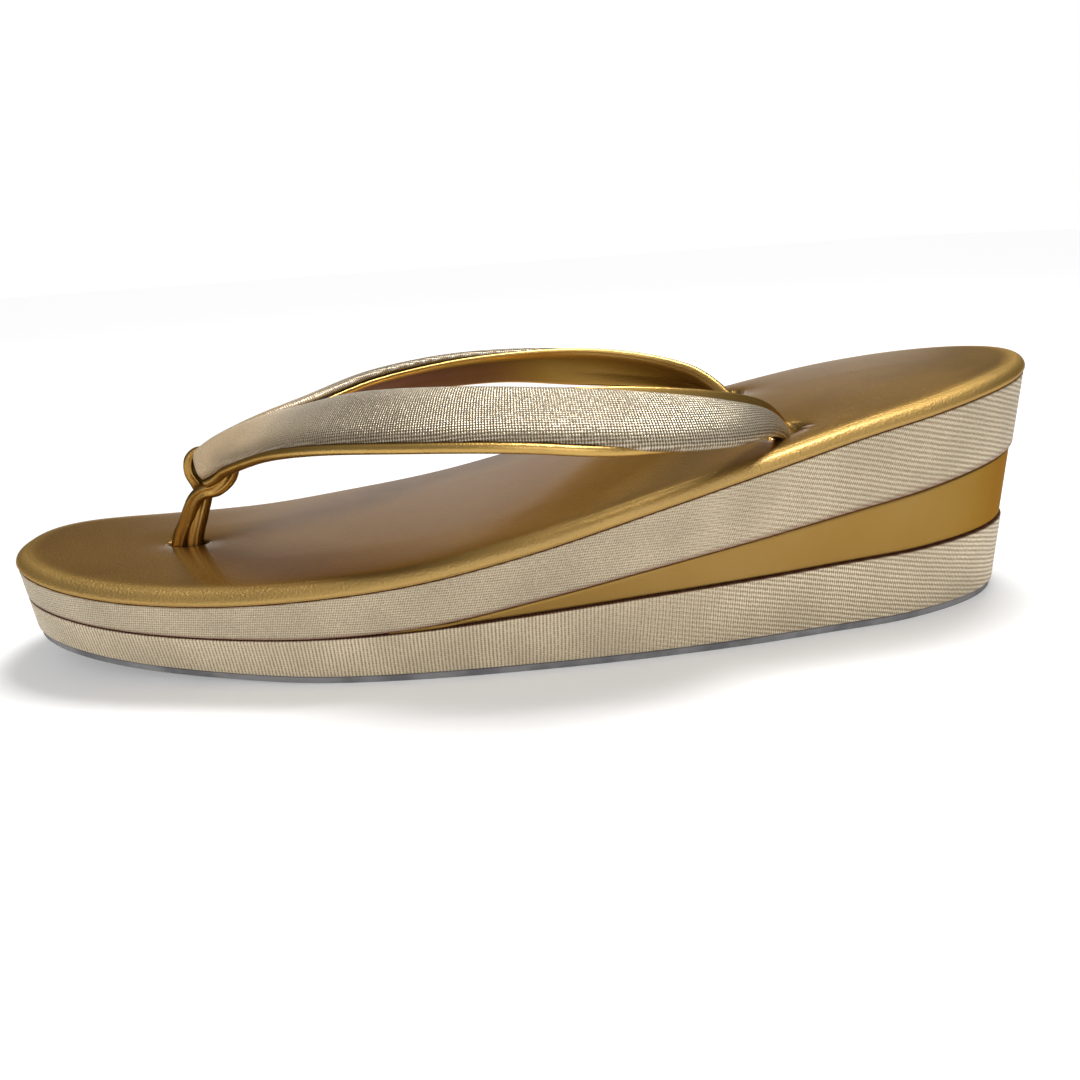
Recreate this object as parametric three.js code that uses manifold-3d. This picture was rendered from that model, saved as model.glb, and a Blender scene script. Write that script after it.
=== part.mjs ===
// Gold zori sandal, one shoe, in millimetres.
// +X points to the toe, +Y to the wearer's left, +Z up; the sandal stands on Z = 0.
import * as THREE from "three";
import { mergeVertices } from "three/addons/utils/BufferGeometryUtils.js";
import Module from "manifold-3d";

const wasm = await Module();
wasm.setup();

// Driving sizes.
const length = 240;
const gap = 0.3;
const outsoleThickness = 2;
const outsoleInset = 0.8;
const wedgeInset = 0.5;
const wedgeFront = 32;
const heelCap = { length: 39.7, power: 1.94 };
const toeCap = { length: 97.2, power: 2.45 };
// How far the wall leans in from the upper edge to its foot.
const lean = { heel: 2, toe: 0.5, side: 6.5 };
// The sole lifts off the ground from here on, up to this height at the toe.
const toeSpring = { from: 38.6, rise: 8.7 };
const stationCount = 64;

// Sections of the sole along the shoe. half: half width before the ends round off.
// rim: upper edge of the pale upper layer. wedgeTop and wedgeFoot: where the heel wedge lies.
const soleSections = [
  { x: -120, half: 32.1, rim: 54.7, wedgeTop: 37.6, wedgeFoot: 19.0 },
  { x: -96, half: 32.6, rim: 51.2, wedgeTop: 34.2, wedgeFoot: 18.2 },
  { x: -72, half: 35.7, rim: 46.8, wedgeTop: 30.3, wedgeFoot: 17.5 },
  { x: -48, half: 39.3, rim: 41.4, wedgeTop: 26.5, wedgeFoot: 16.7 },
  { x: -24, half: 41.6, rim: 35.6, wedgeTop: 22.5, wedgeFoot: 15.8 },
  { x: 0, half: 42.6, rim: 29.6, wedgeTop: 18.1, wedgeFoot: 14.5 },
  { x: 24, half: 42.4, rim: 24.9, wedgeTop: 14.0, wedgeFoot: 13.0 },
  { x: 48, half: 40.8, rim: 22.4, wedgeTop: 12.5, wedgeFoot: 12.2 },
  { x: 72, half: 38.4, rim: 21.3, wedgeTop: 12.9, wedgeFoot: 12.6 },
  { x: 96, half: 37.8, rim: 22.7, wedgeTop: 15.0, wedgeFoot: 14.7 },
  { x: 120, half: 37.8, rim: 26.3, wedgeTop: 18.9, wedgeFoot: 18.6 },
];

// Rounded edge and crown of the footbed. inset: from the sole's edge. rise: above the rim.
const footbedProfile = [
  { inset: 0.2, rise: 0 },
  { inset: -0.2, rise: 0.8 },
  { inset: 0.3, rise: 1.7 },
  { inset: 1.5, rise: 2.4 },
  { inset: 4, rise: 2.9 },
  { inset: 10, rise: 3.2 },
  { inset: 20, rise: 3.4 },
];

// Left arm of the strap from the point over the toes back to its slit.
// width: edge to edge. tilt: degrees from upright, the lower edge outward. tail rows sit in the sole.
const armSections = [
  { x: 75.6, y: 2.4, z: 43.9, width: 8.9, tilt: 26, outer: 2.4, inner: 1.8 },
  { x: 68, y: 4.9, z: 47.7, width: 12.2, tilt: 45, outer: 2.6, inner: 1.8 },
  { x: 56, y: 12.2, z: 51.8, width: 17.6, tilt: 62, outer: 2.8, inner: 1.8 },
  { x: 40, y: 24.2, z: 55.7, width: 19.0, tilt: 64, outer: 3.0, inner: 1.8 },
  { x: 20, y: 35.0, z: 57.1, width: 17.4, tilt: 59, outer: 3.0, inner: 1.8 },
  { x: 0, y: 41.2, z: 56.8, width: 16.6, tilt: 57, outer: 3.0, inner: 1.8 },
  { x: -20, y: 42.4, z: 54.9, width: 15.6, tilt: 49, outer: 3.0, inner: 1.8 },
  { x: -38, y: 38.4, z: 52.7, width: 12.8, tilt: 43, outer: 2.6, inner: 1.8 },
  { x: -50, y: 31.0, z: 50.6, width: 8.4, tilt: 40, outer: 1.8, inner: 1.8 },
  { x: -56.8, y: 23.8, z: 45.4, width: 6.0, tilt: 30, outer: 1.3, inner: 1.6 },
  { x: -60, y: 19.0, z: 38.6, width: 5.2, tilt: 26, outer: 1.2, inner: 1.4 },
];

// Toe loop: a band in the shoe's middle plane, over the strap's point, down and back under it.
const bandSections = [
  { x: 74.6, z: 49.6 },
  { x: 77.6, z: 49.0 },
  { x: 79.2, z: 46.4 },
  { x: 79.3, z: 42.6 },
  { x: 78.2, z: 39.2 },
  { x: 74.6, z: 37.2 },
  { x: 70.9, z: 38.0 },
  { x: 68.5, z: 41.1 },
];
const band = { thick: 1.3, wide: 3.2 };
// Its two legs, from the crossing under the band into the hole behind the toes.
const legs = [
  { name: "front", top: [78.3, 38.9], floor: [84.6, 25.4], end: [85.2, 17.4] },
  { name: "rear", top: [76.4, 38.2], floor: [80.9, 25.4], end: [81.6, 17.4] },
];
const leg = { thick: 1.9, wide: 2.5 };

function clamp(value, low, high) {
  return Math.min(Math.max(value, low), high);
}

// Smooth curve through one column of a table; row is a fractional row number.
function column(table, name, row) {
  const last = table.length - 1;
  const i = Math.floor(clamp(row, 0, last - 1e-9));
  const t = clamp(row - i, 0, 1);
  const value = (k) => table[clamp(k, 0, last)][name];
  const slopeA = (value(i + 1) - value(i - 1)) / (i === 0 ? 1 : 2);
  const slopeB = (value(i + 2) - value(i)) / (i + 2 > last ? 1 : 2);
  const a = value(i);
  const b = value(i + 1);
  const cube = t * t * t;
  const square = t * t;
  return a * (2 * cube - 3 * square + 1) + slopeA * (cube - 2 * square + t)
    + b * (3 * square - 2 * cube) + slopeB * (cube - square);
}

// One column of the sole table at a place along the shoe.
function soleAt(name, x) {
  const pitch = length / (soleSections.length - 1);
  return column(soleSections, name, (x + length / 2) / pitch);
}

// Lower edge of the lower layer: level, then lifting to the toe along a parabola.
function footHeight(x) {
  const reach = clamp((x - toeSpring.from) / (length / 2 - toeSpring.from), 0, 1);
  return outsoleThickness + toeSpring.rise * reach * reach;
}

// The x of a station on an outline, closer together towards both ends.
function stationX(t, level, shrink) {
  const heel = -length / 2 + lean.heel * level + shrink;
  const toe = length / 2 - lean.toe * level - shrink;
  return heel + (toe - heel) * (1 - Math.cos(Math.PI * t)) / 2;
}

// Half width of the outline: the table's width rounded off by a cap at each end.
// level is 0 at the rim and 1 at the foot of the wall; shrink moves the outline inward.
function halfWidth(x, level, shrink) {
  const heel = -length / 2 + lean.heel * level + shrink;
  const toe = length / 2 - lean.toe * level - shrink;
  const back = clamp((heel + heelCap.length - x) / heelCap.length, 0, 1);
  const front = clamp((x - toe + toeCap.length) / toeCap.length, 0, 1);
  const round = (1 - back ** heelCap.power) ** (1 / heelCap.power);
  const nose = (1 - front ** toeCap.power) ** (1 / toeCap.power);
  return (soleAt("half", x) - lean.side * level - shrink) * round * nose;
}

// A point on the sole's leaning wall at the given height function.
function wallPoint(t, height, shrink, side) {
  const guess = stationX(t, 0.5, 0);
  const rim = soleAt("rim", guess);
  const level = (rim - height(guess)) / (rim - footHeight(guess));
  const x = stationX(t, level, shrink);
  return [x, side * halfWidth(x, level, shrink), height(x)];
}

// Closed body from rings of points; both ends get a flat fan.
function loft(rings) {
  const count = rings[0].length;
  const points = rings.flat(2);
  const faces = [];
  for (let i = 0; i + 1 < rings.length; i += 1) {
    for (let j = 0; j < count; j += 1) {
      const a = i * count + j;
      const b = i * count + (j + 1) % count;
      faces.push(a, b, b + count, a, b + count, a + count);
    }
  }
  const end = (rings.length - 1) * count;
  for (let j = 1; j + 1 < count; j += 1) {
    faces.push(0, j + 1, j);
    faces.push(end, end + j, end + j + 1);
  }
  return toSolid(points, faces);
}

// Welds equal points, drops empty faces and hands the body to the solid kernel.
function toSolid(points, faces) {
  const geometry = new THREE.BufferGeometry();
  geometry.setAttribute("position", new THREE.Float32BufferAttribute(points, 3));
  geometry.setIndex(faces);
  const welded = mergeVertices(geometry, 1e-4);
  const index = welded.index.array;
  const kept = [];
  for (let k = 0; k < index.length; k += 3) {
    const [a, b, c] = [index[k], index[k + 1], index[k + 2]];
    if (a !== b && b !== c && c !== a) {
      kept.push(a, b, c);
    }
  }
  const solid = new wasm.Manifold(new wasm.Mesh({
    numProp: 3,
    vertProperties: Float32Array.from(welded.attributes.position.array),
    triVerts: Uint32Array.from(kept),
  }));
  return solid;
}

// One layer of the sole between two height functions, from the heel to a station.
function layer(lower, upper, shrink, lastStation) {
  const rings = [];
  for (let i = 0; i <= stationCount; i += 1) {
    const t = lastStation * i / stationCount;
    rings.push([
      wallPoint(t, lower, shrink, -1),
      wallPoint(t, lower, shrink, 1),
      wallPoint(t, upper, shrink, 1),
      wallPoint(t, upper, shrink, -1),
    ]);
  }
  return loft(rings);
}

// The padded footbed: nested outlines that rise from the rim and roll over to the crown.
function footbedBody() {
  const rings = [];
  for (let i = 0; i <= stationCount; i += 1) {
    const t = i / stationCount;
    const side = (sign) => footbedProfile.map((row) => {
      const x = stationX(t, 0, row.inset);
      return [x, sign * halfWidth(x, 0, row.inset), soleAt("rim", x) + row.rise];
    });
    rings.push([...side(-1).reverse(), ...side(1)]);
  }
  return loft(rings);
}

// One arm of the strap. grow makes the clearance body that its slit is cut with.
function armBody(side, grow) {
  const rings = [];
  const rowCount = armSections.length - 1;
  const steps = 44;
  const centre = (row) => new THREE.Vector3(
    column(armSections, "x", row),
    column(armSections, "y", row),
    column(armSections, "z", row),
  );
  for (let i = 0; i <= steps; i += 1) {
    const row = rowCount * i / steps;
    const ahead = centre(Math.min(row + 0.05, rowCount));
    const along = ahead.sub(centre(Math.max(row - 0.05, 0))).normalize();
    const outward = new THREE.Vector3(along.y, -along.x, 0).normalize();
    const up = new THREE.Vector3().crossVectors(outward, along);
    const tilt = THREE.MathUtils.degToRad(column(armSections, "tilt", row));
    const edge = up.clone().multiplyScalar(Math.cos(tilt)).addScaledVector(outward, -Math.sin(tilt));
    const face = outward.clone().multiplyScalar(Math.cos(tilt)).addScaledVector(up, Math.sin(tilt));
    const ends = (i === 0 ? -grow : 0) + (i === steps ? grow : 0);
    const middle = centre(row).addScaledVector(along, ends);
    const half = column(armSections, "width", row) / 2 + grow;
    const points = [];
    for (let k = 0; k < 18; k += 1) {
      const angle = 2 * Math.PI * k / 18;
      const depth = column(armSections, Math.sin(angle) > 0 ? "outer" : "inner", row) + grow;
      const point = middle.clone().addScaledVector(edge, half * Math.cos(angle));
      point.addScaledVector(face, depth * Math.sin(angle));
      points.push([point.x, side * point.y, point.z]);
    }
    rings.push(side > 0 ? points : points.reverse());
  }
  return loft(rings);
}

// A flattened tube along points in the middle plane.
function tube(path, thick, wide) {
  return loft(path.map((here, i) => {
    const before = path[Math.max(i - 1, 0)];
    const after = path[Math.min(i + 1, path.length - 1)];
    const along = [after[0] - before[0], after[1] - before[1]];
    const size = Math.hypot(along[0], along[1]);
    const points = [];
    for (let k = 0; k < 14; k += 1) {
      const angle = 2 * Math.PI * k / 14;
      const out = thick * Math.cos(angle) / size;
      points.push([here[0] + along[1] * out, wide * Math.sin(angle), here[1] - along[0] * out]);
    }
    return points;
  }));
}

// The band of the toe loop along its table.
function bandBody() {
  const steps = 28;
  const rowCount = bandSections.length - 1;
  const path = [];
  for (let i = 0; i <= steps; i += 1) {
    const row = rowCount * i / steps;
    path.push([column(bandSections, "x", row), column(bandSections, "z", row)]);
  }
  return tube(path, band.thick, band.wide);
}

function legBody(row, grow) {
  const { top, floor, end } = row;
  const path = [];
  for (let i = 0; i <= 6; i += 1) {
    const t = i / 6;
    path.push([top[0] + (floor[0] - top[0]) * t ** 1.2, top[1] + (floor[1] - top[1]) * t]);
  }
  path.push([end[0], end[1] - grow]);
  return tube(path, leg.thick + grow, leg.wide + grow);
}

function toMesh(name, solid, look) {
  const data = solid.getMesh();
  const geometry = new THREE.BufferGeometry();
  geometry.setAttribute("position", new THREE.BufferAttribute(data.vertProperties, 3));
  geometry.setIndex(new THREE.BufferAttribute(data.triVerts, 1));
  const flat = geometry.toNonIndexed();
  flat.computeVertexNormals();
  const material = new THREE.MeshStandardMaterial({ name: look.name, ...look.values });
  const mesh = new THREE.Mesh(flat, material);
  mesh.name = name;
  return mesh;
}

const looks = {
  goldLeather: { name: "gold_leather", values: { color: 0xa57d3c, roughness: 0.38, metalness: 0.6 } },
  paleWeave: { name: "pale_weave", values: { color: 0xcdc3a0, roughness: 0.45, metalness: 0.4 } },
  strapWeave: { name: "strap_weave", values: { color: 0xc8b99b, roughness: 0.35, metalness: 0.5 } },
  rubber: { name: "grey_rubber", values: { color: 0x828082, roughness: 0.85, metalness: 0 } },
};

const rimHeight = (x) => soleAt("rim", x);
const wedgeTop = (x) => Math.max(soleAt("wedgeTop", x), soleAt("wedgeFoot", x) + gap);
const wedgeFoot = (x) => soleAt("wedgeFoot", x);

const arms = armBody(1, 0).add(armBody(-1, 0));
const armSpace = armBody(1, gap).add(armBody(-1, gap));
const legSpace = legBody(legs[0], gap).add(legBody(legs[1], gap));
const wholeLoop = bandBody().add(legBody(legs[0], 0)).add(legBody(legs[1], 0)).subtract(armSpace);

const outsole = layer((x) => footHeight(x) - outsoleThickness, (x) => footHeight(x) - gap, outsoleInset, 1);
const lowerLayer = layer(footHeight, wedgeFoot, 0, 1);
const wedgeEnd = Math.acos(1 - 2 * (wedgeFront + length / 2) / length) / Math.PI;
const wedge = layer((x) => wedgeFoot(x) + gap, (x) => wedgeTop(x) - gap, wedgeInset, wedgeEnd);
const upperLayer = layer(wedgeTop, (x) => rimHeight(x) - gap, 0, 1).subtract(armSpace).subtract(legSpace);
const footbed = footbedBody().subtract(armSpace).subtract(legSpace);

const sandal = new THREE.Group();
sandal.name = "zori_sandal";
sandal.add(toMesh("outsole", outsole, looks.rubber));
sandal.add(toMesh("lower_layer", lowerLayer, looks.paleWeave));
sandal.add(toMesh("heel_wedge", wedge, looks.goldLeather));
sandal.add(toMesh("upper_layer", upperLayer, looks.paleWeave));
sandal.add(toMesh("footbed", footbed, looks.goldLeather));
sandal.add(toMesh("strap", arms, looks.strapWeave));
sandal.add(toMesh("toe_loop", wholeLoop, looks.goldLeather));

export default sandal;
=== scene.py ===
# Gold zori sandal: layered wedge sole, padded footbed, two-arm strap and toe loop.
import math

import bmesh
import bpy
import numpy as np
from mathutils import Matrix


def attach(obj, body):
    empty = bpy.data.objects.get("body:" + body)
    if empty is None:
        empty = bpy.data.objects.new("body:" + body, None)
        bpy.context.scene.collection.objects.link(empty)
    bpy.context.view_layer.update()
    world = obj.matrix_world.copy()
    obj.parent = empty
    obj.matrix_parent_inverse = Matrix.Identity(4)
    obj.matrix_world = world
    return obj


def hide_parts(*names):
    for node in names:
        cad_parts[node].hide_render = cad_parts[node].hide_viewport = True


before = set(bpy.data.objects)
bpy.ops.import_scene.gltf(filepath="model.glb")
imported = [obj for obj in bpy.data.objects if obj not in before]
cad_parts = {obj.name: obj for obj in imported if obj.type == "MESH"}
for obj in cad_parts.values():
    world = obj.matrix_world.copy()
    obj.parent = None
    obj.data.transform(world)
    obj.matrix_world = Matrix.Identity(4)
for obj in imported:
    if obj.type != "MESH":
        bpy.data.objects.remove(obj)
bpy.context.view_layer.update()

mm = 0.001
print("frame loaded")


# shape of the sole in millimetres, as the solid model has it but for the gap, 0.3 mm there
sole = {
    "length": 240.0,
    "outsole": 2.0,          # thickness of the rubber sheet
    "gap": 0.2,              # between two layers
    "heelCap": (39.7, 1.94),  # length and power of the rounded ends
    "toeCap": (97.2, 2.45),
    "leanHeel": 2.0,         # how far the wall leans in at its foot
    "leanToe": 0.5,
    "leanSide": 6.5,
    "springFrom": 38.6,      # the sole lifts off the ground ahead of here
    "springRise": 8.7,
}
# half width, rim height, top and foot of the wedge, every 24 mm from heel to toe
soleTable = np.array([
    [32.1, 54.7, 37.6, 19.0],
    [32.6, 51.2, 34.2, 18.2],
    [35.7, 46.8, 30.3, 17.5],
    [39.3, 41.4, 26.5, 16.7],
    [41.6, 35.6, 22.5, 15.8],
    [42.6, 29.6, 18.1, 14.5],
    [42.4, 24.9, 14.0, 13.0],
    [40.8, 22.4, 12.5, 12.2],
    [38.4, 21.3, 12.9, 12.6],
    [37.8, 22.7, 15.0, 14.7],
    [37.8, 26.3, 18.9, 18.6],
])
halfCol, rimCol, wedgeTopCol, wedgeFootCol = range(4)


def smoothRows(table, row):
    # cubic through the table's rows; the slope at a row is half the step between its neighbours
    table = np.asarray(table, float)
    last = len(table) - 1
    i = np.clip(np.floor(row), 0, last - 1).astype(int)
    t = (np.clip(row, 0, last) - i)[..., None]
    pick = lambda k: table[np.clip(k, 0, last)]
    slopeA = (pick(i + 1) - pick(i - 1)) / np.where(i == 0, 1, 2)[..., None]
    slopeB = (pick(i + 2) - pick(i)) / np.where(i + 2 > last, 1, 2)[..., None]
    return (pick(i) * (2 * t**3 - 3 * t**2 + 1) + slopeA * (t**3 - 2 * t**2 + t)
            + pick(i + 1) * (3 * t**2 - 2 * t**3) + slopeB * (t**3 - t**2))


def smoothStep(low, high, value):
    # 0 at low and 1 at high, with three squares less two cubes between
    t = np.clip((value - low) / (high - low), 0, 1)
    return t * t * (3 - 2 * t)


def soleAt(col, x):
    # one column of the table at x, its rows spread evenly from heel to toe
    row = (np.asarray(x) + sole["length"] / 2) / (sole["length"] / (len(soleTable) - 1))
    return smoothRows(soleTable, row)[..., col]


def footHeight(x):
    # level, then a parabola up to the toe
    reach = (x - sole["springFrom"]) / (sole["length"] / 2 - sole["springFrom"])
    return sole["outsole"] + sole["springRise"] * np.clip(reach, 0, 1) ** 2


def rimHeight(x):
    return soleAt(rimCol, x)


def wedgeFoot(x):
    return soleAt(wedgeFootCol, x)


def wedgeTop(x):
    return np.maximum(soleAt(wedgeTopCol, x), wedgeFoot(x) + sole["gap"])


def outline(t, level, inset):
    # station t from 0 at the heel to 1 at the toe, closer together at the ends;
    # half width is the table's value rounded off by a superellipse at each end
    heel = -sole["length"] / 2 + sole["leanHeel"] * level + inset
    toe = sole["length"] / 2 - sole["leanToe"] * level - inset
    x = heel + (toe - heel) * (1 - np.cos(np.pi * t)) / 2
    back = np.clip((heel + sole["heelCap"][0] - x) / sole["heelCap"][0], 0, 1)
    front = np.clip((x - toe + sole["toeCap"][0]) / sole["toeCap"][0], 0, 1)
    cap = (1 - back ** sole["heelCap"][1]) ** (1 / sole["heelCap"][1])
    nose = (1 - front ** sole["toeCap"][1]) ** (1 / sole["toeCap"][1])
    return x, (soleAt(halfCol, x) - sole["leanSide"] * level - inset) * cap * nose


def nestedShell(lower, upper, rows, count, leaning=True, lastStation=1.0):
    # one loop per row round the outline; a row has share (0 at lower, 1 at upper), lift, inset
    # and spread, which pulls the loop in to the middle line. Returns points and cloth lengths.
    t = np.concatenate([np.linspace(0, 1, count), np.linspace(1, 0, count)])[:, None] * lastStation
    side = np.repeat([1.0, -1.0], count)[:, None]
    share, lift, inset, spread = np.asarray(rows, float).T
    guess, _ = outline(t, 0.5, 0.0)
    height = lambda x: lower(x) + (upper(x) - lower(x)) * share + lift
    level = (rimHeight(guess) - height(guess)) / (rimHeight(guess) - footHeight(guess))
    x, half = outline(t, level * leaning, inset)
    grid = np.stack([x, side * half * spread, height(x)], -1)
    middle = grid[:count, len(rows) // 2, :2]
    run = np.concatenate([[0], np.cumsum(np.hypot(*np.diff(middle, axis=0).T))])
    along = np.concatenate([run, -run[::-1]])[:, None] * np.ones(len(rows))
    return grid, np.stack([along, grid[..., 2]], -1)


def layerRows(rounding, wallRows):
    # flat underside, small rounded foot edge, straight wall, small rounded top edge, flat top
    turn = np.linspace(0, np.pi / 2, 6)
    rows = [[0, 0, rounding, s] for s in (0, 0.5, 0.9)]
    rows += [[0, rounding * (1 - math.cos(a)), rounding * (1 - math.sin(a)), 1] for a in turn]
    rows += [[s, rounding * (1 - 2 * s), 0, 1] for s in np.linspace(0, 1, wallRows)[1:-1]]
    rows += [[1, -rounding * (1 - math.sin(a)), rounding * (1 - math.cos(a)), 1] for a in turn]
    return rows + [[1, 0, rounding, s] for s in (0.9, 0.5, 0)]


weldDistance = 3e-6  # metres; points closer than this are one point
leastEdge = 1e-7     # metres; shorter edges are dropped


def makePiece(name, grids, cloths=None, shades=None, rims=None):
    # one mesh from grids of points: neighbours make the quads, equal points are welded; shade is painted
    # shade that darkens a fold, groove or pit, rim gives a paler painted highlight and takes gloss off, both
    # from 0 to 1
    points, cloth, quads, shade, rim, start = [], [], [], [], [], 0
    for k, grid in enumerate(grids):
        across, down = grid.shape[:2]
        index = np.arange(across * down).reshape(across, down) + start
        corners = [index[:-1, :-1], index[1:, :-1], index[1:, 1:], index[:-1, 1:]]
        quads.append(np.stack(corners, -1).reshape(-1, 4))
        points.append(grid.reshape(-1, 3))
        cloth.append(cloths[k].reshape(-1, 2) if cloths else np.zeros((across * down, 2)))
        shade.append(shades[k].reshape(-1) if shades else np.zeros(across * down))
        rim.append(rims[k].reshape(-1) if rims else np.zeros(across * down))
        start += across * down
    points, cloth, quads, shade, rim = map(np.concatenate, (points, cloth, quads, shade, rim))
    mesh = bpy.data.meshes.new(name)
    mesh.vertices.add(len(points))
    mesh.vertices.foreach_set("co", (points * mm).ravel())
    mesh.loops.add(quads.size)
    mesh.loops.foreach_set("vertex_index", quads.ravel())
    mesh.polygons.add(len(quads))
    mesh.polygons.foreach_set("loop_start", np.arange(0, quads.size, 4))
    mesh.update(calc_edges=True)
    mesh.uv_layers.new(name="cloth").data.foreach_set("uv", cloth[quads.ravel()].ravel())
    mesh.attributes.new("shade", "FLOAT", "POINT").data.foreach_set("value", shade)
    mesh.attributes.new("rim", "FLOAT", "POINT").data.foreach_set("value", rim)
    work = bmesh.new()
    work.from_mesh(mesh)
    bmesh.ops.remove_doubles(work, verts=work.verts, dist=weldDistance)
    bmesh.ops.dissolve_degenerate(work, edges=work.edges, dist=leastEdge)
    bmesh.ops.recalc_face_normals(work, faces=work.faces)
    work.to_mesh(mesh)
    work.free()
    mesh.polygons.foreach_set("use_smooth", np.ones(len(mesh.polygons), bool))
    mesh.update()
    piece = bpy.data.objects.new(name, mesh)
    bpy.context.scene.collection.objects.link(piece)
    return piece


def finishPiece(piece, material, slotName, *nodes):
    piece.data.materials.append(material)
    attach(piece, "root")
    if nodes:
        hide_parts(*nodes)
    print("made", piece.name, len(piece.data.polygons), "faces")


def colour(red, green, blue):
    # screen values from 0 to 255 as linear light
    return tuple((c / 255) ** 2.2 for c in (red, green, blue)) + (1.0,)


def newNode(tree, kind, **settings):
    node = tree.nodes.new(kind)
    for key, value in settings.items():
        setattr(node, key, value)
    return node


def plug(tree, socket, value):
    if isinstance(value, bpy.types.NodeSocket):
        tree.links.new(value, socket)
    else:
        socket.default_value = value


def calc(tree, operation, *values):
    node = newNode(tree, "ShaderNodeMath", operation=operation)
    for socket, value in zip(node.inputs, values):
        plug(tree, socket, value)
    return node.outputs[0]


def blend(tree, amount, first, second):
    node = newNode(tree, "ShaderNodeMix", data_type="RGBA")
    plug(tree, node.inputs[0], amount)
    plug(tree, node.inputs[6], first)
    plug(tree, node.inputs[7], second)
    return node.outputs[2]


def remap(tree, value, fromLow, fromHigh, toLow=0.0, toHigh=1.0):
    node = newNode(tree, "ShaderNodeMapRange", interpolation_type="SMOOTHSTEP")
    for socket, number in zip(node.inputs, (value, fromLow, fromHigh, toLow, toHigh)):
        plug(tree, socket, number)
    return node.outputs[0]


def newGroup(name, inputs, outputs):
    tree = bpy.data.node_groups.new(name, "ShaderNodeTree")
    for label, value in inputs.items():
        tree.interface.new_socket(label, in_out="INPUT", socket_type="NodeSocketFloat").default_value = value
    for label in outputs:
        tree.interface.new_socket(label, in_out="OUTPUT", socket_type="NodeSocketFloat")
    return tree, newNode(tree, "NodeGroupInput"), newNode(tree, "NodeGroupOutput")


def useGroup(tree, group, **values):
    node = newNode(tree, "ShaderNodeGroup", node_tree=group)
    for label, value in values.items():
        plug(tree, node.inputs[label], value)
    return node


def halfWave(tree, turn):
    # 1 at every whole turn and 0 half way between: half of one plus the cosine of the turn
    cosine = calc(tree, "COSINE", calc(tree, "MULTIPLY", turn, 2 * math.pi))
    return calc(tree, "MULTIPLY_ADD", cosine, 0.5, 0.5)


weaveDetail = {
    "driftSize": 0.06, "drift": 0.7,     # noise scale and width in mm of the threads' slow wander
    "knotSize": 1.9, "unevenness": 0.9,  # threads that stand higher or lower
    "hollowFrom": 0.15, "hollowTo": 0.95,
    "sparkFrom": 0.58, "sparkTo": 0.72,
}


def buildWeave():
    # ribs run along the cloth and threads cross them: height is one less a share of each half wave,
    # less a fine unevenness
    tree, source, out = newGroup("ribWeave", {
        "ribPitch": 1.05, "threadPitch": 0.55, "slant": 0.0, "lean": 0.0,
        "ribShare": 0.5, "threadShare": 0.5}, ("height", "hollow", "spark"))
    cloth = newNode(tree, "ShaderNodeUVMap", uv_map="cloth")
    split = newNode(tree, "ShaderNodeSeparateXYZ")
    tree.links.new(cloth.outputs[0], split.inputs[0])
    along, across = split.outputs[0], split.outputs[1]
    wobble = newNode(tree, "ShaderNodeTexNoise")
    tree.links.new(cloth.outputs[0], wobble.inputs["Vector"])
    wobble.inputs["Scale"].default_value = weaveDetail["driftSize"]
    drift = calc(tree, "MULTIPLY", wobble.outputs[0], weaveDetail["drift"])

    def strandWave(place, other, tiltName, pitchName, shareName):
        # how far down between two strands a place is, times that strand's share
        tilted = calc(tree, "MULTIPLY_ADD", other, source.outputs[tiltName], place)
        turn = calc(tree, "DIVIDE", calc(tree, "ADD", tilted, drift), source.outputs[pitchName])
        down = calc(tree, "SUBTRACT", 1.0, halfWave(tree, turn))
        return calc(tree, "MULTIPLY", down, source.outputs[shareName])

    ribPart = strandWave(across, along, "slant", "ribPitch", "ribShare")
    threadPart = strandWave(along, across, "lean", "threadPitch", "threadShare")
    knots = newNode(tree, "ShaderNodeTexNoise")
    tree.links.new(cloth.outputs[0], knots.inputs["Vector"])
    knots.inputs["Scale"].default_value = weaveDetail["knotSize"]
    knots.inputs["Detail"].default_value = 1.0
    swing = weaveDetail["unevenness"]
    uneven = calc(tree, "MULTIPLY_ADD", knots.outputs[0], swing, -swing / 2)
    depth = calc(tree, "ADD", calc(tree, "ADD", ribPart, threadPart), uneven)
    hollow = remap(tree, depth, weaveDetail["hollowFrom"], weaveDetail["hollowTo"])
    spark = remap(tree, knots.outputs[0], weaveDetail["sparkFrom"], weaveDetail["sparkTo"])
    tree.links.new(calc(tree, "SUBTRACT", 1.0, depth), out.inputs["height"])
    tree.links.new(hollow, out.inputs["hollow"])
    tree.links.new(spark, out.inputs["spark"])
    return tree


def buildGrain():
    # fine pebbles and a slower tone: two noises, each as large as its size in mm
    tree, source, out = newGroup("leatherGrain", {"pebble": 0.6, "spread": 12.0}, ("height", "tone"))
    place = newNode(tree, "ShaderNodeTexCoord")
    pebble = newNode(tree, "ShaderNodeTexNoise")
    slow = newNode(tree, "ShaderNodeTexNoise")
    for node, size, detail in ((pebble, "pebble", 2.0), (slow, "spread", 3.0)):
        tree.links.new(place.outputs["Object"], node.inputs["Vector"])
        plug(tree, node.inputs["Scale"], calc(tree, "DIVIDE", 1 / mm, source.outputs[size]))
        node.inputs["Detail"].default_value = detail
    tree.links.new(pebble.outputs[0], out.inputs["height"])
    tree.links.new(slow.outputs[0], out.inputs["tone"])
    return tree


weaveGroup = buildWeave()
grainGroup = buildGrain()
toneSpan = (0.35, 0.65)  # part of the noise over which one tone goes over into the other
roughSpan = (0.3, 0.7)   # the same for roughness


def newMaterial(name):
    material = bpy.data.materials.new(name)
    material.use_nodes = True
    tree = material.node_tree
    return material, tree, tree.nodes["Principled BSDF"]


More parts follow.
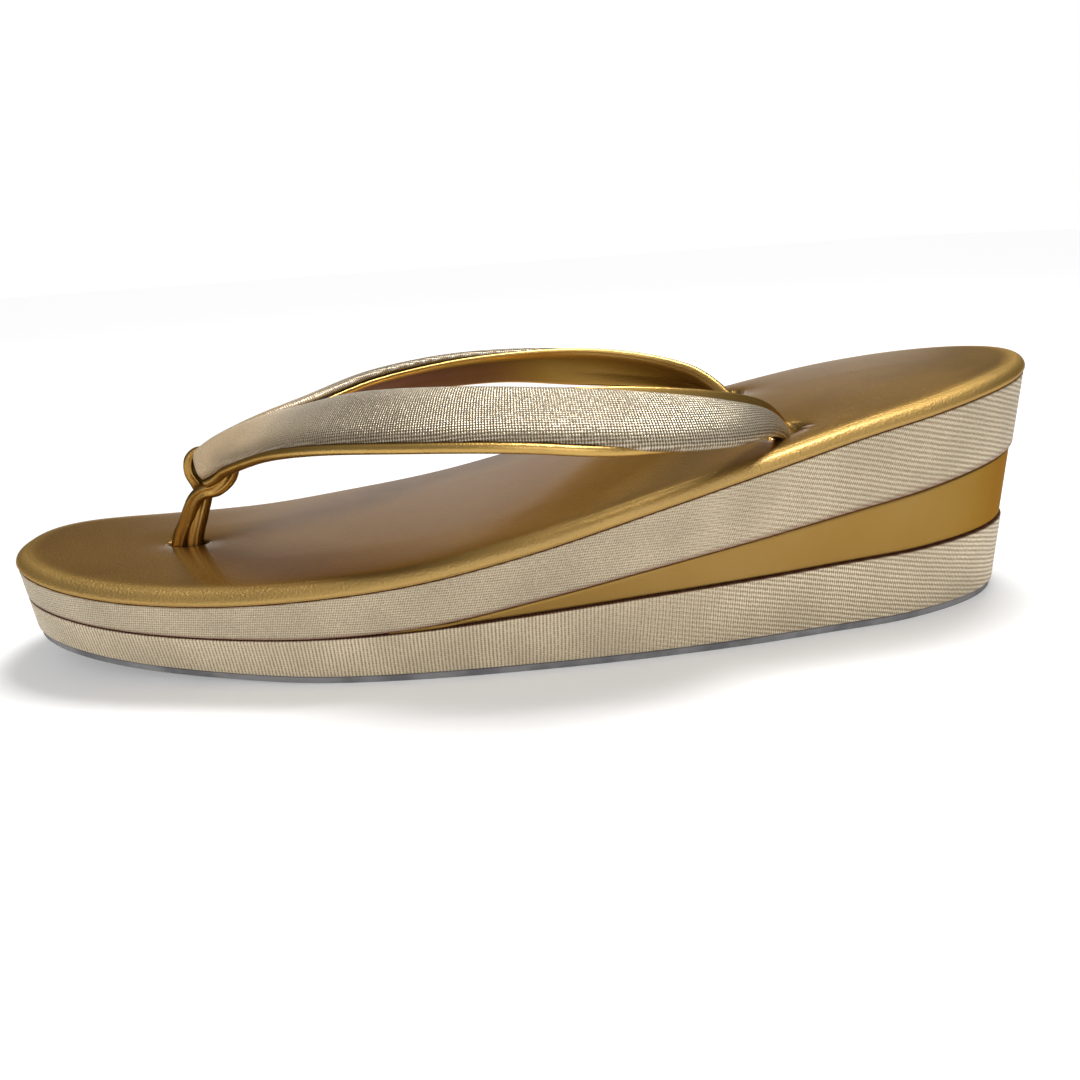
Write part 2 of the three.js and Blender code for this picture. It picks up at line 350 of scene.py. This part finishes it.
def addBump(tree, shader, height, distance):
    # distance is in mm
    bump = newNode(tree, "ShaderNodeBump")
    bump.inputs["Distance"].default_value = distance * mm
    bump.inputs["Strength"].default_value = 1.0
    tree.links.new(height, bump.inputs["Height"])
    tree.links.new(bump.outputs[0], shader.inputs["Normal"])


goldLook = {
    "base": (180, 143, 79), "deep": (158, 120, 59), "deepShare": 0.3,
    "edgeTint": (194, 153, 98),      # colour at a glancing look
    # painted highlight: the paler colour on the rim
    "rimHighlight": (181, 148, 88),        # on the rim
    # painted shade colour for folds, grooves and pits
    "fold": (58, 38, 6),             # down in a fold
    "metal": 0.95,
    "rough": 0.34, "roughSwing": (-0.03, 0.05), "rimRough": 0.19,
    "coat": 0.6, "coatLoss": 0.65, "coatRough": 0.15,  # the loss is on the rim
    "pebble": 0.5, "spread": 22.0, "bump": 0.17,       # mm
}


def goldLeather(name, look):
    # coated leather: two gold tones over slow noise; by the rim mark paler as a painted highlight, rougher
    # and with less coat; darker by the shade mark, painted shade in folds, grooves and pits
    material, tree, shader = newMaterial(name)
    grain = useGroup(tree, grainGroup, pebble=look["pebble"], spread=look["spread"])
    mark = newNode(tree, "ShaderNodeAttribute", attribute_name="shade")
    tone = remap(tree, grain.outputs["tone"], *toneSpan, 0.0, look["deepShare"])
    base = blend(tree, tone, colour(*look["base"]), colour(*look["deep"]))
    edge = newNode(tree, "ShaderNodeAttribute", attribute_name="rim")
    rimHighlight = blend(tree, edge.outputs["Fac"], base, colour(*look["rimHighlight"]))
    shaded = blend(tree, mark.outputs["Fac"], rimHighlight, colour(*look["fold"]))
    tree.links.new(shaded, shader.inputs["Base Color"])
    low, high = (look["rough"] + swing for swing in look["roughSwing"])
    rough = remap(tree, grain.outputs["tone"], *roughSpan, low, high)
    rimmed = calc(tree, "MULTIPLY_ADD", edge.outputs["Fac"], look["rimRough"], rough)
    tree.links.new(rimmed, shader.inputs["Roughness"])
    shader.inputs["Metallic"].default_value = look["metal"]
    shader.inputs["Specular Tint"].default_value = colour(*look["edgeTint"])
    if look["coat"]:
        coat = calc(tree, "MULTIPLY_ADD", edge.outputs["Fac"], -look["coatLoss"] * look["coat"], look["coat"])
        tree.links.new(coat, shader.inputs["Coat Weight"])
    shader.inputs["Coat Roughness"].default_value = look["coatRough"]
    addBump(tree, shader, grain.outputs["height"], look["bump"])
    return material


# pairs are the value behind and the value ahead of the change given to wovenCloth; pitches are in mm
bandLook = {
    "thread": (236, 221, 191), "threadAhead": (221, 205, 175),
    # hollow is painted shade between the threads, fold painted shade in the grooves, spark a painted glint
    "hollow": (150, 130, 102), "fold": (104, 46, 16), "spark": (252, 244, 222),
    "metal": (0.4, 0.4), "rough": 0.4, "bump": 0.15,
    "slant": -0.25, "lean": 0.0,
    "ribPitch": (1.12, 0.5), "threadPitch": (0.52, 0.78),
    "ribShare": (0.55, 0.25), "threadShare": (0.6, 0.62),
}
upperLook = {
    **bandLook,
    "thread": (223, 209, 180), "threadAhead": (203, 188, 161),
    "lean": 0.3,
    "ribPitch": (1.12, 0.62), "threadPitch": (0.52, 0.5),
    "ribShare": (0.55, 0.45), "threadShare": (0.6, 0.45),
}
strapLook = {
    "thread": (237, 227, 203), "threadAhead": (227, 198, 158),
    # hollow is painted shade between the threads, fold painted shade along the pad's edges, spark a painted
    # glint
    "hollow": (124, 105, 79), "fold": (92, 74, 54), "spark": (255, 252, 242),
    "metal": (0.85, 0.3), "rough": 0.27, "bump": 0.12,
    "slant": -0.08, "lean": 0.15,
    "ribPitch": (0.56, 0.56), "threadPitch": (0.56, 0.56),
    "ribShare": (0.62, 0.3), "threadShare": (0.62, 0.3),
}
clothDetail = {
    "pebble": 0.9, "spread": 14.0,   # mm
    "stain": 0.16, "sparkle": 0.6,   # how far the tone darkens and a spark lightens
    "hollowRough": 0.2,              # added in the hollows
    "ridge": (0.2, 1.0),             # heights over which that fades out
}


def wovenCloth(name, look, turnFrom, turnTo):
    # metallic thread: light ridges, painted shade in the hollows, painted glints on a few knots; each pair
    # of values in the look goes from the first, behind turnFrom, to the second, ahead of turnTo
    material, tree, shader = newMaterial(name)
    place = newNode(tree, "ShaderNodeTexCoord")
    split = newNode(tree, "ShaderNodeSeparateXYZ")
    tree.links.new(place.outputs["Object"], split.inputs[0])
    ahead = remap(tree, split.outputs[0], turnFrom * mm, turnTo * mm)
    pair = lambda key: calc(tree, "MULTIPLY_ADD", ahead, look[key][1] - look[key][0], look[key][0])
    weave = [useGroup(tree, weaveGroup, ribPitch=look["ribPitch"][k], threadPitch=look["threadPitch"][k],
                      slant=look["slant"] * (1 - k), lean=look["lean"],
                      ribShare=pair("ribShare"), threadShare=pair("threadShare")) for k in (0, 1)]
    mixed = {}
    for part in ("height", "hollow"):
        node = newNode(tree, "ShaderNodeMix", data_type="FLOAT")
        sockets = (node.inputs[0], node.inputs[2], node.inputs[3])
        for socket, value in zip(sockets, (ahead, weave[0].outputs[part], weave[1].outputs[part])):
            plug(tree, socket, value)
        mixed[part] = node.outputs[0]
    grain = useGroup(tree, grainGroup, pebble=clothDetail["pebble"], spread=clothDetail["spread"])
    mark = newNode(tree, "ShaderNodeAttribute", attribute_name="shade")
    thread = blend(tree, ahead, colour(*look["thread"]), colour(*look["threadAhead"]))
    stain = remap(tree, grain.outputs["tone"], *toneSpan, 0.0, clothDetail["stain"])
    stained = blend(tree, stain, thread, (0, 0, 0, 1))
    sparkle = calc(tree, "MULTIPLY", weave[0].outputs["spark"], clothDetail["sparkle"])
    lit = blend(tree, sparkle, stained, colour(*look["spark"]))
    base = blend(tree, mixed["hollow"], lit, colour(*look["hollow"]))
    shaded = blend(tree, mark.outputs["Fac"], base, colour(*look["fold"]))
    hollowRough = look["rough"] + clothDetail["hollowRough"]
    rough = remap(tree, mixed["height"], *clothDetail["ridge"], hollowRough, look["rough"])
    tree.links.new(shaded, shader.inputs["Base Color"])
    tree.links.new(rough, shader.inputs["Roughness"])
    if look["metal"][0] == look["metal"][1]:
        shader.inputs["Metallic"].default_value = look["metal"][0]
    else:
        tree.links.new(pair("metal"), shader.inputs["Metallic"])
    addBump(tree, shader, mixed["height"], look["bump"])
    return material


rubberLook = {"base": (136, 135, 136), "deep": (106, 105, 107), "rough": (0.75, 0.9),
              "pebble": 0.8, "spread": 9.0, "bump": 0.08}


def greyRubber(look):
    # two greys over slow noise, rougher on the pebbles
    material, tree, shader = newMaterial("greyRubber")
    grain = useGroup(tree, grainGroup, pebble=look["pebble"], spread=look["spread"])
    tone = remap(tree, grain.outputs["tone"], *toneSpan)
    base = blend(tree, tone, colour(*look["base"]), colour(*look["deep"]))
    tree.links.new(base, shader.inputs["Base Color"])
    rough = remap(tree, grain.outputs["height"], *roughSpan, *look["rough"])
    tree.links.new(rough, shader.inputs["Roughness"])
    addBump(tree, shader, grain.outputs["height"], look["bump"])
    return material


wedgeLook = {**goldLook, "base": (150, 120, 68), "coat": 0.0, "rough": 0.46, "bump": 0.08}
# the lining's fold colour is painted shade on its back and where the lower piping tucks in
trimLook = {**goldLook, "base": (192, 156, 90), "fold": (64, 47, 6), "rough": 0.3, "coat": 0.12, "bump": 0.08}
loopLook = {**goldLook, "base": (170, 132, 70), "rough": 0.3, "coat": 0.15, "bump": 0.08}
footbedGold = goldLeather("footbedGold", goldLook)
wedgeGold = goldLeather("wedgeGold", wedgeLook)
trimGold = goldLeather("trimGold", trimLook)
loopGold = goldLeather("loopGold", loopLook)
lowerCloth = wovenCloth("lowerCloth", bandLook, -60, 5)
upperCloth = wovenCloth("upperCloth", upperLook, -75, -10)
strapCloth = wovenCloth("strapCloth", strapLook, 30, 66)
soleRubber = greyRubber(rubberLook)
print("materials ready")


layerLook = {
    "wallRows": 14, "stations": 300,
    "edgeShade": 0.85,               # how dark the cloth goes in a groove
    "topDepth": 0.15, "footDepth": 0.35, "rounding": 0.4,
}
# what differs from layerLook, layer by layer, in mm
outsoleLook = {**layerLook, "shrink": 0.4, "topDepth": 0.01, "footDepth": 0.01, "rounding": 0.3}
lowerBandLook = {**layerLook, "topDepth": 0.2, "footDepth": 0.2}
heelWedgeLook = {**layerLook, "shrink": 0.5, "topDepth": 0.01, "footDepth": 0.25, "rounding": 0.8,
                 "tip": 32.0}  # how far ahead of the middle it ends
upperBandLook = {**layerLook, "footDepth": 0.9}


def edgeMarks(grid, lower, upper, topDepth, footDepth):
    # painted shade near the top and foot edges of a layer, where it folds into the groove
    x, z = grid[..., 0], grid[..., 2]
    top = 1 - smoothStep(0.0, topDepth, upper(x) - z)
    foot = 1 - smoothStep(0.0, footDepth, z - lower(x))
    return np.clip(np.maximum(top, foot), 0, 1)


def soleLayer(name, lower, upper, look, material, slotName, node, lastStation=1.0):
    rows = [[share, lift, inset + look.get("shrink", 0.0), spread]
            for share, lift, inset, spread in layerRows(look["rounding"], look["wallRows"])]
    grid, cloth = nestedShell(lower, upper, rows, look["stations"], True, lastStation)
    marks = edgeMarks(grid, lower, upper, look["topDepth"], look["footDepth"]) * look["edgeShade"]
    piece = makePiece(name, [grid], [cloth], [marks], [marks])
    finishPiece(piece, material, slotName, node)


gap = sole["gap"]
# the station, from 0 to 1, at which the wedge comes to its tip
wedgeEnd = math.acos(1 - 2 * (heelWedgeLook["tip"] / sole["length"] + 0.5)) / math.pi
soleLayer("outsoleSheet", lambda x: footHeight(x) - sole["outsole"], lambda x: footHeight(x) - gap,
          outsoleLook, soleRubber, "grey_rubber", "outsole")
soleLayer("lowerBand", footHeight, wedgeFoot, lowerBandLook, lowerCloth, "pale_weave", "lower_layer")
soleLayer("heelWedge", lambda x: wedgeFoot(x) + gap, lambda x: wedgeTop(x) - gap,
          heelWedgeLook, wedgeGold, "gold_leather", "heel_wedge", wedgeEnd)
soleLayer("upperBand", wedgeTop, lambda x: rimHeight(x) - gap,
          upperBandLook, upperCloth, "pale_weave", "upper_layer")
print("sole layers made")


footbedShape = {
    "stations": 300,
    "profile": [  # inset from the wall and rise above it
        [0.2, 0.0], [-0.2, 0.8], [0.1, 1.8], [0.9, 2.65], [2.2, 3.1], [5.0, 3.3], [20.0, 3.4]],
    "profileRows": 49, "middleRows": 30,
    "underInset": 0.9,                # of the flat underside
    "uncutRows": 12,                  # loops after the first that a slit leaves whole
    # the rim's gold is rougher and less coated, and paler as a painted highlight
    "rimFrom": 1.5, "rimTo": 5.0,     # insets between which the rim's duller gold ends
    "slits": [  # middle x and y, half length, half width, turn in degrees, depth
        (-56.4, 24.0, 5.6, 3.3, 44.0, 5.0),
        (-56.4, -24.0, 5.6, 3.3, -44.0, 5.0),
        (82.7, 0.0, 4.6, 3.0, 0.0, 5.0),
    ],
    # places from inside a slit's edge (less than 0) to outside it
    "slitWall": (-1.1, 0.15), "slitDark": (-0.7, 0.5),
    "dimple": 0.3, "dimpleReach": 2.4,  # the pad pulled down round a slit
    # how dark the painted shade in a slit's pit goes
    "slitShade": 0.95,
}


def slitDepth(x, y):
    # each slit is a pit inside an ellipse with a smooth wall, and the pad round it goes down by
    # a dimple that fades off exponentially; dark marks the pit, where the colour takes painted shade
    drop = np.zeros_like(x)
    dark = np.zeros_like(x)
    wall = footbedShape["slitWall"]
    for cx, cy, long, wide, turn, depth in footbedShape["slits"]:
        c, s = math.cos(math.radians(turn)), math.sin(math.radians(turn))
        u, v = (x - cx) * c + (y - cy) * s, -(x - cx) * s + (y - cy) * c
        away = (np.hypot(u / long, v / wide) - 1) * wide
        dimple = footbedShape["dimple"] * np.exp(-np.maximum(away, 0) / footbedShape["dimpleReach"])
        drop += depth * (1 - smoothStep(*wall, away)) + dimple * (away > wall[0])
        dark = np.maximum(dark, 1 - smoothStep(*footbedShape["slitDark"], away))
    return drop, dark


def footbedGrid():
    # loops of the sole's outline: flat underside, rolled edge along the profile, nearly flat top
    profile = smoothRows(footbedShape["profile"],
                         np.linspace(0, len(footbedShape["profile"]) - 1, footbedShape["profileRows"]))
    middle = np.linspace(1, 0, footbedShape["middleRows"])[1:]
    under = [[0, 0.0, footbedShape["underInset"], spread] for spread in (0, 0.5, 0.9, 1)]
    rows = under + [[0, rise, inset, 1] for inset, rise in profile]
    inset, rise = profile[-1]
    rows += [[0, rise, inset, spread] for spread in middle]
    grid, cloth = nestedShell(rimHeight, rimHeight, rows, footbedShape["stations"], leaning=False)
    top = np.arange(len(rows)) > footbedShape["uncutRows"]  # the slits only cut the upper side
    drop, dark = slitDepth(grid[..., 0], grid[..., 1])
    grid[..., 2] -= drop * top
    edge = 1 - smoothStep(footbedShape["rimFrom"], footbedShape["rimTo"], profile[:, 0])
    edge = np.concatenate([np.ones(len(under)), edge, np.zeros(len(middle))])
    return grid, cloth, dark * top, edge + 0 * dark


grid, cloth, dark, edge = footbedGrid()
slitMark = dark * footbedShape["slitShade"]
footbedPad = makePiece("footbedPad", [grid], [cloth], [slitMark], [np.maximum(edge, dark)])
finishPiece(footbedPad, footbedGold, "gold_leather", "footbed")
print("footbed made")


# x, y, z, width, tilt from upright, outer and inner depth, from the point over the toes to the tail
armTable = np.array([
    [75.6, 2.4, 43.9, 8.9, 26, 2.4, 1.8],
    [68, 4.9, 47.7, 12.2, 45, 2.6, 1.8],
    [56, 12.2, 51.8, 17.6, 62, 2.8, 1.8],
    [40, 24.2, 55.7, 19.0, 64, 3.0, 1.8],
    [20, 35.0, 57.1, 17.4, 59, 3.0, 1.8],
    [0, 41.2, 56.8, 16.6, 57, 3.0, 1.8],
    [-20, 42.4, 54.9, 15.6, 49, 3.0, 1.8],
    [-38, 38.4, 52.7, 12.8, 43, 2.6, 1.8],
    [-50, 31.0, 50.6, 8.4, 40, 1.8, 1.8],
    [-56.8, 23.8, 45.4, 6.0, 30, 1.3, 1.6],
    [-60, 19.0, 38.6, 5.2, 26, 1.2, 1.4],
])
strapShape = {
    "steps": 220,
    "piping": 1.1,             # radius of the rolled edge
    "edgeIn": 0.75,            # cloth ends this far inside a piping that shows
    "lowerTuck": (5.4, 6.6),   # rows over which the lower piping turns in under the cloth
    "upperTuck": (6.4, 3.4),   # and the upper one, towards the toes
    "backDepth": 0.7,          # of the cloth's flat back
    "roundness": 0.85,         # power of the pad's section, 1 is an ellipse
    "tailIn": 0.8, "tailRows": (5.5, 8),  # the upper edge comes in towards the tail
    # painted shade on the pad: how dark it goes, and between which cosines, -1 at its lower edge and 1 at its
    # upper one
    "seamShade": 0.85, "seamSpan": (-0.965, -0.995), "seamFade": 0.6,
    "lowerShade": 0.42, "lowerSpan": (-0.35, -0.95),
    "upperShade": 0.3, "upperSpan": (0.7, 0.98),
    # painted shade on the lining's back, lighter at the tail, and where the lower piping tucks in
    "backShade": (0.86, 0.46),  # inside of the lining, and how much paler it is at the tail
    "backRows": (4.5, 6.5),
    "tuckShade": 0.95, "tuckTurn": (100, 60),
    "lowerPull": 2.0, "upperPull": 1.1,  # how far a tucked piping moves in
    "backDrop": (0.9, 0.5),              # and how far it takes the lining's back with it
    "upperOut": (0.1, 1.35), "lowerIn": 1.1,  # place out from the middle, and the way in when tucked
    "upperThick": (0.6, 0.35), "thickRows": (5.0, 8.0),  # share of piping, and the gain at the tail
    "upperRoll": (-90, 130, 15), "lowerRoll": (50, 270, 15),  # turns in degrees and steps
}


def armFrame(side):
    # middle line and two directions across it: edge to the upper edge, face out of the woven side
    row = np.linspace(0, len(armTable) - 1, strapShape["steps"])
    data = smoothRows(armTable, row)
    middle = data[:, :3]
    before, after = np.maximum(row - 0.05, 0), np.minimum(row + 0.05, len(armTable) - 1)
    along = smoothRows(armTable, after)[:, :3] - smoothRows(armTable, before)[:, :3]
    along /= np.linalg.norm(along, axis=1)[:, None]
    outward = np.cross(along, [0, 0, 1.0])
    outward /= np.linalg.norm(outward, axis=1)[:, None]
    up = np.cross(outward, along)
    tilt = np.radians(data[:, 4])[:, None]
    edge = up * np.cos(tilt) - outward * np.sin(tilt)
    face = outward * np.cos(tilt) + up * np.sin(tilt)
    flip = np.array([1, side, 1])
    run = np.concatenate([[0], np.cumsum(np.linalg.norm(np.diff(middle, axis=0), axis=1))])
    return middle * flip, edge * flip, face * flip, data[:, 3] / 2, data[:, 5], data[:, 6], run, row


def closeEnds(grid):
    # a last ring drawn in to its middle closes each end
    first, last = grid[:1].mean(1, keepdims=True), grid[-1:].mean(1, keepdims=True)
    shape = (1, grid.shape[1], 3)
    return np.concatenate([np.broadcast_to(first, shape), grid, np.broadcast_to(last, shape)])


def tuckShare(limits, row):
    # goes from 0 at the first limit to 1 at the second, whichever is the larger
    low, high = min(limits), max(limits)
    share = smoothStep(low, high, row)
    return share if limits[0] < limits[1] else 1 - share


def sweep(side, section):
    # section gives, for every step of the arm, places across (a), out (b) and shade of the arm
    middle, edge, face, half, outer, inner, run, row = armFrame(side)
    a, b, shade = section(half[:, None], outer[:, None], inner[:, None], row[:, None])
    grid = middle[:, None] + edge[:, None] * a[..., None] + face[:, None] * b[..., None]
    cloth = np.stack([run[:, None] + 0 * a, a], -1)
    ends = lambda rows: np.concatenate([rows[:1], rows, rows[-1:]])
    return closeEnds(grid), ends(cloth), ends(shade + 0 * a)


def padSection(half, outer, inner, row):
    # woven pad: a full round outer face and a flat back, narrower where a piping shows beside it;
    # across goes with a power of the cosine of the angle round it and out with one of the sine
    low = tuckShare(strapShape["lowerTuck"], row)
    high = tuckShare(strapShape["upperTuck"], row)
    angle = np.linspace(0, 2 * np.pi, 65)
    c, s = np.cos(angle), np.sin(angle)
    tail = strapShape["tailIn"] * smoothStep(*strapShape["tailRows"], row)
    upper = half - strapShape["edgeIn"] * (1 - high) - tail
    lower = half - strapShape["edgeIn"] * (1 - low)
    boxy = lambda v: np.sign(v) * np.abs(v) ** strapShape["roundness"]
    a = np.where(c > 0, upper, lower) * boxy(c)
    b = np.where(s > 0, outer, strapShape["backDepth"]) * boxy(s)
    part = lambda name: strapShape[name + "Shade"] * smoothStep(*strapShape[name + "Span"], c)
    seam = part("seam") * (1 - strapShape["seamFade"] * low)
    lowerSide, upperSide = part("lower"), part("upper")
    return a, b, np.maximum(seam, lowerSide + upperSide)


def liningSection(half, outer, inner, row):
    # gold lining: an arch across the back, then rolled round both edges as a piping; a tucked
    # piping is pulled in under the cloth
    r = strapShape["piping"]
    low = tuckShare(strapShape["lowerTuck"], row)
    high = tuckShare(strapShape["upperTuck"], row)
    lowIn, highIn = strapShape["lowerPull"] * low, strapShape["upperPull"] * high
    thin, gain = strapShape["upperThick"]
    thick = r * (thin + gain * smoothStep(*strapShape["thickRows"], row))
    back = np.linspace(-1, 1, 21)
    lowSide, highSide = np.maximum(-back, 0), np.maximum(back, 0)
    upperTurn = np.radians(np.linspace(*strapShape["upperRoll"]))[1:]
    lowerTurn = np.radians(np.linspace(*strapShape["lowerRoll"]))
    one = np.ones_like(half)
    a = [half * back + lowIn * lowSide - highIn * highSide,
         half - highIn + thick * np.cos(upperTurn),
         -half + lowIn + r * np.cos(lowerTurn)]
    lowDrop, highDrop = strapShape["backDrop"]
    plain, tucked = strapShape["upperOut"]
    arch = (inner - r) * np.sqrt(1 - back**2) * one
    b = [-r - arch - lowDrop * low * lowSide - highDrop * high * highSide,
         (plain - tucked * high) * one + thick * np.sin(upperTurn),
         -strapShape["lowerIn"] * low + r * np.sin(lowerTurn) * one]
    dark, paler = strapShape["backShade"]
    deep = dark - paler * smoothStep(*strapShape["backRows"], row)
    tuck = strapShape["tuckShade"] * smoothStep(*strapShape["tuckTurn"], np.degrees(lowerTurn))
    shade = [deep * smoothStep(1, 0.8, np.abs(back)), one * 0 * upperTurn, one * tuck]
    return np.concatenate(a, 1), np.concatenate(b, 1), np.concatenate(shade, 1)


def bothArms(name, section, material, slotName, *nodes):
    arms = [sweep(side, section) for side in (1, -1)]
    grids, cloths, shades = (list(part) for part in zip(*arms))
    piece = makePiece(name, grids, cloths, shades, shades)
    finishPiece(piece, material, slotName, *nodes)
    return piece


bothArms("strapPad", padSection, strapCloth, "strap_weave", "strap")
bothArms("strapLining", liningSection, trimGold, "gold_leather")
print("strap made")


# x, y, z, half thickness along the shoe, half width across it
frontStrand = [
    [75.0, 0.2, 47.6, 0.8, 1.0], [77.2, 0.3, 47.2, 1.0, 1.6], [78.7, 0.2, 45.4, 1.3, 2.1],
    [79.0, -0.2, 42.4, 1.5, 2.5], [78.0, -0.9, 39.4, 1.7, 2.6], [77.3, -1.2, 36.6, 1.9, 2.4],
    [78.9, -0.5, 31.5, 1.9, 2.5], [80.9, 0.0, 25.4, 1.9, 2.5], [81.5, 0.0, 18.0, 1.9, 2.5]]
underStrand = [
    [68.8, 0.3, 43.0, 1.5, 2.2], [70.6, 0.8, 40.3, 2.0, 2.6], [73.4, 1.4, 38.4, 2.1, 2.6],
    [76.3, 1.9, 37.8, 1.8, 2.4], [78.9, 1.5, 35.8, 1.7, 2.2], [81.6, 0.5, 31.0, 1.8, 2.4],
    [84.4, 0.0, 25.4, 1.9, 2.5], [85.1, 0.0, 18.0, 1.9, 2.5]]
loopShape = {
    "steps": 110, "around": 33,
    "flatness": 0.8,                      # 1 is an ellipse, less is boxier
    "foldDepth": 0.22, "foldWidth": 0.02,  # of the line down each wide side
    # painted shade on a strand, strongest where the cosine round it is one
    "strandShade": 0.65,
}


def strandGrid(table):
    # flattened tube along the table: powers of cosine and sine, less a fold line at the wide sides; painted
    # shade grows with the cube of the cosine
    table = np.asarray(table, float)
    row = np.linspace(0, len(table) - 1, loopShape["steps"])
    data = smoothRows(table, row)
    middle = data[:, :3]
    along = np.gradient(middle, axis=0)
    along /= np.linalg.norm(along, axis=1)[:, None]
    across = np.cross(along, [0, 1.0, 0])
    across /= np.linalg.norm(across, axis=1)[:, None]
    wide = np.cross(across, along)
    angle = np.linspace(0, 2 * np.pi, loopShape["around"])
    off = (np.abs(np.sin(angle)) - 1) / loopShape["foldWidth"]
    fold = 1 - loopShape["foldDepth"] * np.exp(-off**2)
    power = lambda v: np.sign(v) * np.abs(v) ** loopShape["flatness"]
    thin = data[:, 3:4] * power(np.cos(angle))
    broad = data[:, 4:5] * power(np.sin(angle)) * fold
    grid = closeEnds(middle[:, None] + across[:, None] * thin[..., None] + wide[:, None] * broad[..., None])
    return grid, loopShape["strandShade"] * np.abs(np.cos(angle)) ** 3 + 0 * grid[..., 0]


strands, strandShades = zip(*[strandGrid(table) for table in (frontStrand, underStrand)])
toeLoop = makePiece("toeLoopBand", strands, None, strandShades, strandShades)
finishPiece(toeLoop, loopGold, "gold_leather", "toe_loop")
print("toe loop made")


floorLook = {
    "corners": [(-3, -6, 0), (3, -6, 0), (3, 2, 0), (-3, 2, 0)],
    "paint": (0.8, 0.8, 0.8, 1), "rough": 0.9,
    # the floor's glow is painted light, weaker near the shoe and stronger away from it
    "glow": (0.24, 0.74), "glowFrom": 0.18, "glowTo": 0.7,  # it gets paler away from the shoe
}
floorMesh = bpy.data.meshes.new("floor")
floorMesh.from_pydata(floorLook["corners"], [], [(0, 1, 2, 3)])
floor = bpy.data.objects.new("floor", floorMesh)
bpy.context.scene.collection.objects.link(floor)
floorPaint, floorTree, floorShader = newMaterial("paleFloor")
floorShader.inputs["Base Color"].default_value = floorLook["paint"]
floorShader.inputs["Roughness"].default_value = floorLook["rough"]
floorShader.inputs["Emission Color"].default_value = (1, 1, 1, 1)
away = newNode(floorTree, "ShaderNodeVectorMath", operation="LENGTH")
floorTree.links.new(newNode(floorTree, "ShaderNodeTexCoord").outputs["Object"], away.inputs[0])
floorGlow = remap(floorTree, away.outputs[1], floorLook["glowFrom"], floorLook["glowTo"], *floorLook["glow"])
floorTree.links.new(floorGlow, floorShader.inputs["Emission Strength"])
floorMesh.materials.append(floorPaint)

# each is from, to, strength at from, strength at to, over one part of the looking direction
skyLook = {
    "fill": (-0.3, 0.6, 0.11, 0.30),       # y: dim behind the shoe, soft in front
    "heelSide": (-0.95, -0.45, 0.6, 1.0),  # x: less fill from behind the heel
    "overhead": (0.6, 0.95, 0.0, 0.25),    # z
    "panel": (-0.86, -0.92, 0.0, 0.85),    # y: a low white panel behind the shoe
    "panelTop": (0.29, 0.24, 0.0, 1.0),    # z
}
world = bpy.data.worlds.new("studio")
bpy.context.scene.world = world
world.use_nodes = True
studio = world.node_tree
backdrop = studio.nodes["Background"]
backdrop.inputs[0].default_value = (1, 1, 1, 1)
skyPlace = newNode(studio, "ShaderNodeTexCoord")
skySplit = newNode(studio, "ShaderNodeSeparateXYZ")
studio.links.new(skyPlace.outputs["Generated"], skySplit.inputs[0])
skyPart = lambda name, axis: remap(studio, skySplit.outputs[axis], *skyLook[name])
fill = calc(studio, "MULTIPLY", skyPart("fill", 1), skyPart("heelSide", 0))
panel = calc(studio, "MULTIPLY", skyPart("panel", 1), skyPart("panelTop", 2))
glow = calc(studio, "ADD", calc(studio, "ADD", fill, skyPart("overhead", 2)), panel)
seen = newNode(studio, "ShaderNodeLightPath").outputs["Is Camera Ray"]
studio.links.new(calc(studio, "MAXIMUM", glow, seen), backdrop.inputs[1])  # plain white to the eye

lights = [  # name, place, aim, size, watts
    ("frontBox", (-0.05, 0.75, 0.40), (0, 0, 0.02), 0.6, 2.2),
    ("overBox", (-0.10, -0.06, 0.60), (-0.02, 0.03, 0.05), 0.22, 3.8),
]


def addLight(name, place, aim, size, watts):
    # square lamp at place, turned so that it shines towards aim
    lamp = bpy.data.lights.new(name, "AREA")
    lamp.size, lamp.energy = size, watts
    holder = bpy.data.objects.new(name, lamp)
    holder.location = place
    dx, dy, dz = np.array(aim) - np.array(place)
    yaw, pitch = math.atan2(dx, -dy), math.atan2(math.hypot(dx, dy), -dz)
    holder.rotation_euler = (pitch, 0, yaw + math.pi)
    bpy.context.scene.collection.objects.link(holder)


for light in lights:
    addLight(*light)

# place in mm, turn in degrees, lens in mm
view = {"place": (9.25, 211.56, 88.28), "turn": (73.82, 3.78, 176.40),
        "lens": 29.71, "shift": (0.0138, -0.0307), "sensor": 36.0}
nearest = 0.01  # metres; nothing closer than this is drawn
cameraData = bpy.data.cameras.new("camera")
cameraData.lens = view["lens"]
cameraData.sensor_width = view["sensor"]
cameraData.shift_x, cameraData.shift_y = view["shift"]
cameraData.clip_start = nearest
camera = bpy.data.objects.new("camera", cameraData)
camera.location = [c * mm for c in view["place"]]
camera.rotation_euler = [math.radians(c) for c in view["turn"]]
bpy.context.scene.collection.objects.link(camera)
bpy.context.scene.camera = camera
bpy.context.scene.view_settings.view_transform = "Standard"
print("stage ready")

bpy.context.view_layer.update()
